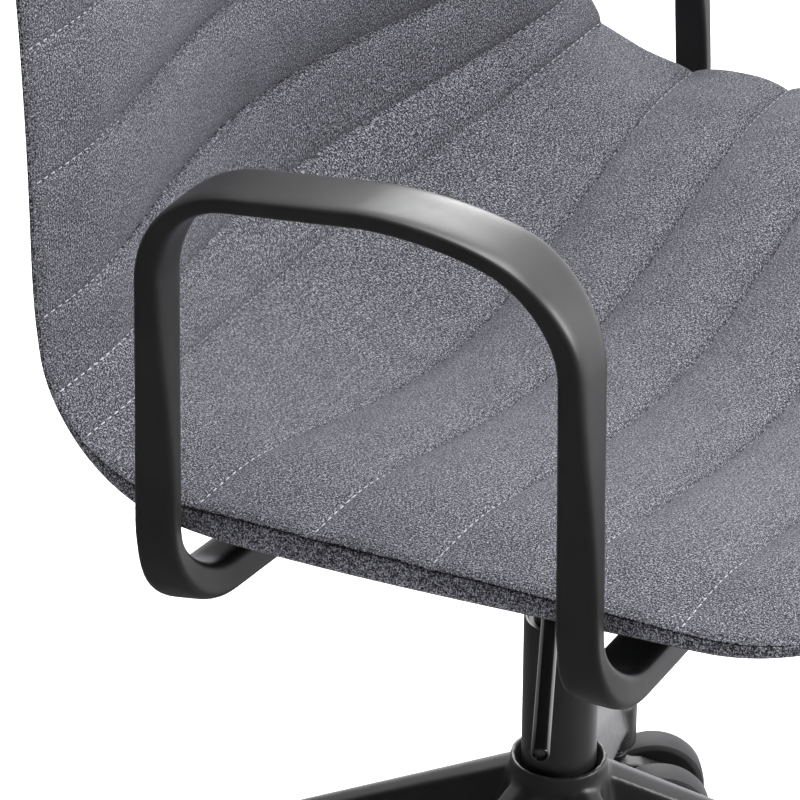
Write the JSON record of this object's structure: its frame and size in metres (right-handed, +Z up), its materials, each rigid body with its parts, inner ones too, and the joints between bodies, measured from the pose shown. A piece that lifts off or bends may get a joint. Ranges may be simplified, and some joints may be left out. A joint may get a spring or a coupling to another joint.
{
  "type": "swivel office chair",
  "caption": "Swivel office chair with a one-piece channel-quilted seat and back, loop arms, a gas height column and a low five-leg base on twin-wheel casters.",
  "frame": {"origin": "middle of the bounding box, on the floor under the wheels", "axes": "+Z up, -Y the way the sitter faces, +X the sitter's left"},
  "size_m": [0.6752, 0.6213, 0.9152],
  "materials": {
    "base_black": "satin black powder coat on the five-leg base, arms and seat mechanism",
    "column_black": "satin black painted tube",
    "steel": "plain turned steel and zinc-plated screws",
    "plastic_black": "black moulded nylon",
    "wheel_grey": "dark wheel with a softer grey tread",
    "lever_black": "gloss black lacquer",
    "shell_grey": "dark grey moulded shell",
    "cloth_grey": "mid grey melange weave with sewn channels"
  },
  "bodies": {
    "base": {"base_star": "base_black", "column_tube": "column_black", "guide_bushing": "plastic_black", "thrust_bearing": "steel"},
    "rod": {"piston_rod": "steel", "retaining_clip": "steel", "gas_piston": "steel"},
    "seat": {"pressure_cylinder": "column_black", "taper_socket": "base_black", "mechanism_housing": "base_black", "mounting_plate": "base_black", "lever_pivot_pin": "steel", "seat_shell": "shell_grey", "seat_cushion": "cloth_grey", "plate_screw_1": "steel", "arm_screw_1": "steel", "plate_screw_2": "steel", "arm_screw_2": "steel", "plate_screw_3": "steel", "arm_screw_3": "steel", "plate_screw_4": "steel", "arm_screw_4": "steel", "arm_right": "base_black", "arm_left": "base_black", "back_handle": "plastic_black", "handle_screw_right": "steel", "handle_screw_left": "steel"},
    "valve": {"release_pin": "steel"},
    "lever": {"height_lever": "lever_black", "lever_cap": "plastic_black"},
    "caster_1": {"caster_stem_1": "steel", "caster_housing_1": "plastic_black", "caster_axle_1": "steel"},
    "caster_1_wheel_a": {"caster_1_wheel_a": "wheel_grey"},
    "caster_1_wheel_b": {"caster_1_wheel_b": "wheel_grey"},
    "caster_2": {"caster_stem_2": "steel", "caster_housing_2": "plastic_black", "caster_axle_2": "steel"},
    "caster_2_wheel_a": {"caster_2_wheel_a": "wheel_grey"},
    "caster_2_wheel_b": {"caster_2_wheel_b": "wheel_grey"},
    "caster_3": {"caster_stem_3": "steel", "caster_housing_3": "plastic_black", "caster_axle_3": "steel"},
    "caster_3_wheel_a": {"caster_3_wheel_a": "wheel_grey"},
    "caster_3_wheel_b": {"caster_3_wheel_b": "wheel_grey"},
    "caster_4": {"caster_stem_4": "steel", "caster_housing_4": "plastic_black", "caster_axle_4": "steel"},
    "caster_4_wheel_a": {"caster_4_wheel_a": "wheel_grey"},
    "caster_4_wheel_b": {"caster_4_wheel_b": "wheel_grey"},
    "caster_5": {"caster_stem_5": "steel", "caster_housing_5": "plastic_black", "caster_axle_5": "steel"},
    "caster_5_wheel_a": {"caster_5_wheel_a": "wheel_grey"},
    "caster_5_wheel_b": {"caster_5_wheel_b": "wheel_grey"}
  },
  "joints": [
    {"name": "seat_swivel", "type": "hinge", "parent": "base", "child": "rod", "pos_m": [0, -0.00366, 0.127], "axis": [0, 0, 1], "continuous": true},
    {"name": "height_adjust", "type": "slide", "parent": "rod", "child": "seat", "axis": [0, 0, 1], "range_m": [-0.088, 0]},
    {"name": "height_lever", "type": "hinge", "parent": "seat", "child": "lever", "pos_m": [-0.03891, -0.01946, 0.451], "axis": [-0.3762, 0.9265, 0], "range_deg": [0, 4.5], "stiffness_Nm_per_rad": 2, "springref_deg": -3.44},
    {"name": "valve_press", "type": "slide", "parent": "seat", "child": "valve", "axis": [0, 0, 1], "range_m": [-0.0034, 0]},
    {"name": "caster_1_swivel", "type": "hinge", "parent": "base", "child": "caster_1", "pos_m": [0.28532, 0.08904, 0.074], "axis": [0, 0, 1], "continuous": true},
    {"name": "caster_1_wheel_a_spin", "type": "hinge", "parent": "caster_1", "child": "caster_1_wheel_a", "pos_m": [0.29882, 0.06566, 0.0325], "axis": [0.866, 0.5, 0], "continuous": true},
    {"name": "caster_1_wheel_b_spin", "type": "hinge", "parent": "caster_1", "child": "caster_1_wheel_b", "pos_m": [0.29882, 0.06566, 0.0325], "axis": [0.866, 0.5, 0], "continuous": true},
    {"name": "caster_2_swivel", "type": "hinge", "parent": "base", "child": "caster_2", "pos_m": [0, 0.29634, 0.074], "axis": [0, 0, 1], "continuous": true},
    {"name": "caster_2_wheel_a_spin", "type": "hinge", "parent": "caster_2", "child": "caster_2_wheel_a", "pos_m": [0, 0.26934, 0.0325], "axis": [1, 0, 0], "continuous": true},
    {"name": "caster_2_wheel_b_spin", "type": "hinge", "parent": "caster_2", "child": "caster_2_wheel_b", "pos_m": [0, 0.26934, 0.0325], "axis": [1, 0, 0], "continuous": true},
    {"name": "caster_3_swivel", "type": "hinge", "parent": "base", "child": "caster_3", "pos_m": [-0.28532, 0.08904, 0.074], "axis": [0, 0, 1], "continuous": true},
    {"name": "caster_3_wheel_a_spin", "type": "hinge", "parent": "caster_3", "child": "caster_3_wheel_a", "pos_m": [-0.29882, 0.06566, 0.0325], "axis": [0.866, -0.5, 0], "continuous": true},
    {"name": "caster_3_wheel_b_spin", "type": "hinge", "parent": "caster_3", "child": "caster_3_wheel_b", "pos_m": [-0.29882, 0.06566, 0.0325], "axis": [0.866, -0.5, 0], "continuous": true},
    {"name": "caster_4_swivel", "type": "hinge", "parent": "base", "child": "caster_4", "pos_m": [-0.17634, -0.24637, 0.074], "axis": [0, 0, 1], "continuous": true},
    {"name": "caster_4_wheel_a_spin", "type": "hinge", "parent": "caster_4", "child": "caster_4_wheel_a", "pos_m": [-0.18332, -0.27244, 0.0325], "axis": [0.9659, -0.2588, 0], "continuous": true},
    {"name": "caster_4_wheel_b_spin", "type": "hinge", "parent": "caster_4", "child": "caster_4_wheel_b", "pos_m": [-0.18332, -0.27244, 0.0325], "axis": [0.9659, -0.2588, 0], "continuous": true},
    {"name": "caster_5_swivel", "type": "hinge", "parent": "base", "child": "caster_5", "pos_m": [0.17634, -0.24637, 0.074], "axis": [0, 0, 1], "continuous": true},
    {"name": "caster_5_wheel_a_spin", "type": "hinge", "parent": "caster_5", "child": "caster_5_wheel_a", "pos_m": [0.18332, -0.27244, 0.0325], "axis": [0.9659, 0.2588, 0], "continuous": true},
    {"name": "caster_5_wheel_b_spin", "type": "hinge", "parent": "caster_5", "child": "caster_5_wheel_b", "pos_m": [0.18332, -0.27244, 0.0325], "axis": [0.9659, 0.2588, 0], "continuous": true}
  ],
  "couplings": [
    {"joint": "valve_press", "follows": "height_lever", "m_per_rad": -0.042}
  ]
}
